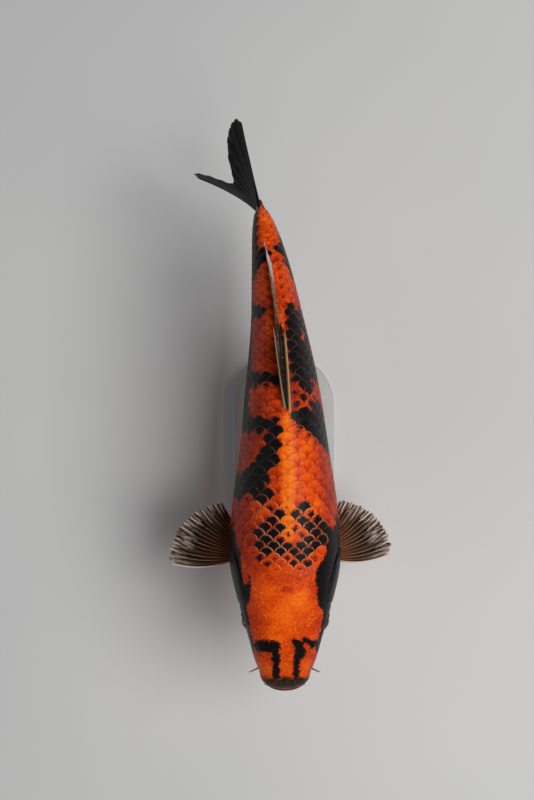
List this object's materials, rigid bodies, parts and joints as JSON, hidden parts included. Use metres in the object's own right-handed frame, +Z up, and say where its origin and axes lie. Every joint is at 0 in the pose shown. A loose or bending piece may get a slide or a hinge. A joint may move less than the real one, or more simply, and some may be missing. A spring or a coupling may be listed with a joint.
{
  "type": "koi carp on a display stand",
  "caption": "Life-size still koi in orange and black, gliding level with spread pectoral fins and a tail swept to its right, held by two short rods on a flat round-ended base.",
  "frame": {"origin": "centre of the stand's underside, under the fish's middle", "axes": "+Z up, -Y towards the snout, +X towards the fish's own left side"},
  "size_m": [0.2314, 0.5611, 0.2539],
  "materials": {
    "skin": "wet scaled skin, orange-red with black patches",
    "eye": "clear and wet over a dark pupil and a thin gold ring",
    "barbel": "wet skin",
    "fin_striped": "wet, cream rays between dark stripes",
    "fin_dark": "wet, near black with faint grey rays",
    "stand_base": "satin grey paint",
    "stand_rod": "brushed"
  },
  "bodies": {
    "root": {"head": "skin", "lower_jaw": "skin", "gill_cover_left": "skin", "gill_cover_right": "skin", "trunk_front": "skin", "trunk_middle": "skin", "trunk_rear": "skin", "tail_stalk": "skin", "eye_left": "eye", "eye_right": "eye", "barbel_front_left": "barbel", "barbel_front_right": "barbel", "barbel_rear_left": "barbel", "barbel_rear_right": "barbel", "pectoral_fin_left": "fin_striped", "pectoral_fin_right": "fin_striped", "pelvic_fin_left": "fin_striped", "pelvic_fin_right": "fin_striped", "dorsal_fin": "fin_dark", "anal_fin": "fin_striped", "caudal_fin_upper": "fin_dark", "caudal_fin_lower": "fin_dark", "stand_base": "stand_base", "stand_rod_front": "stand_rod", "stand_rod_rear": "stand_rod"}
  },
  "joints": []
}
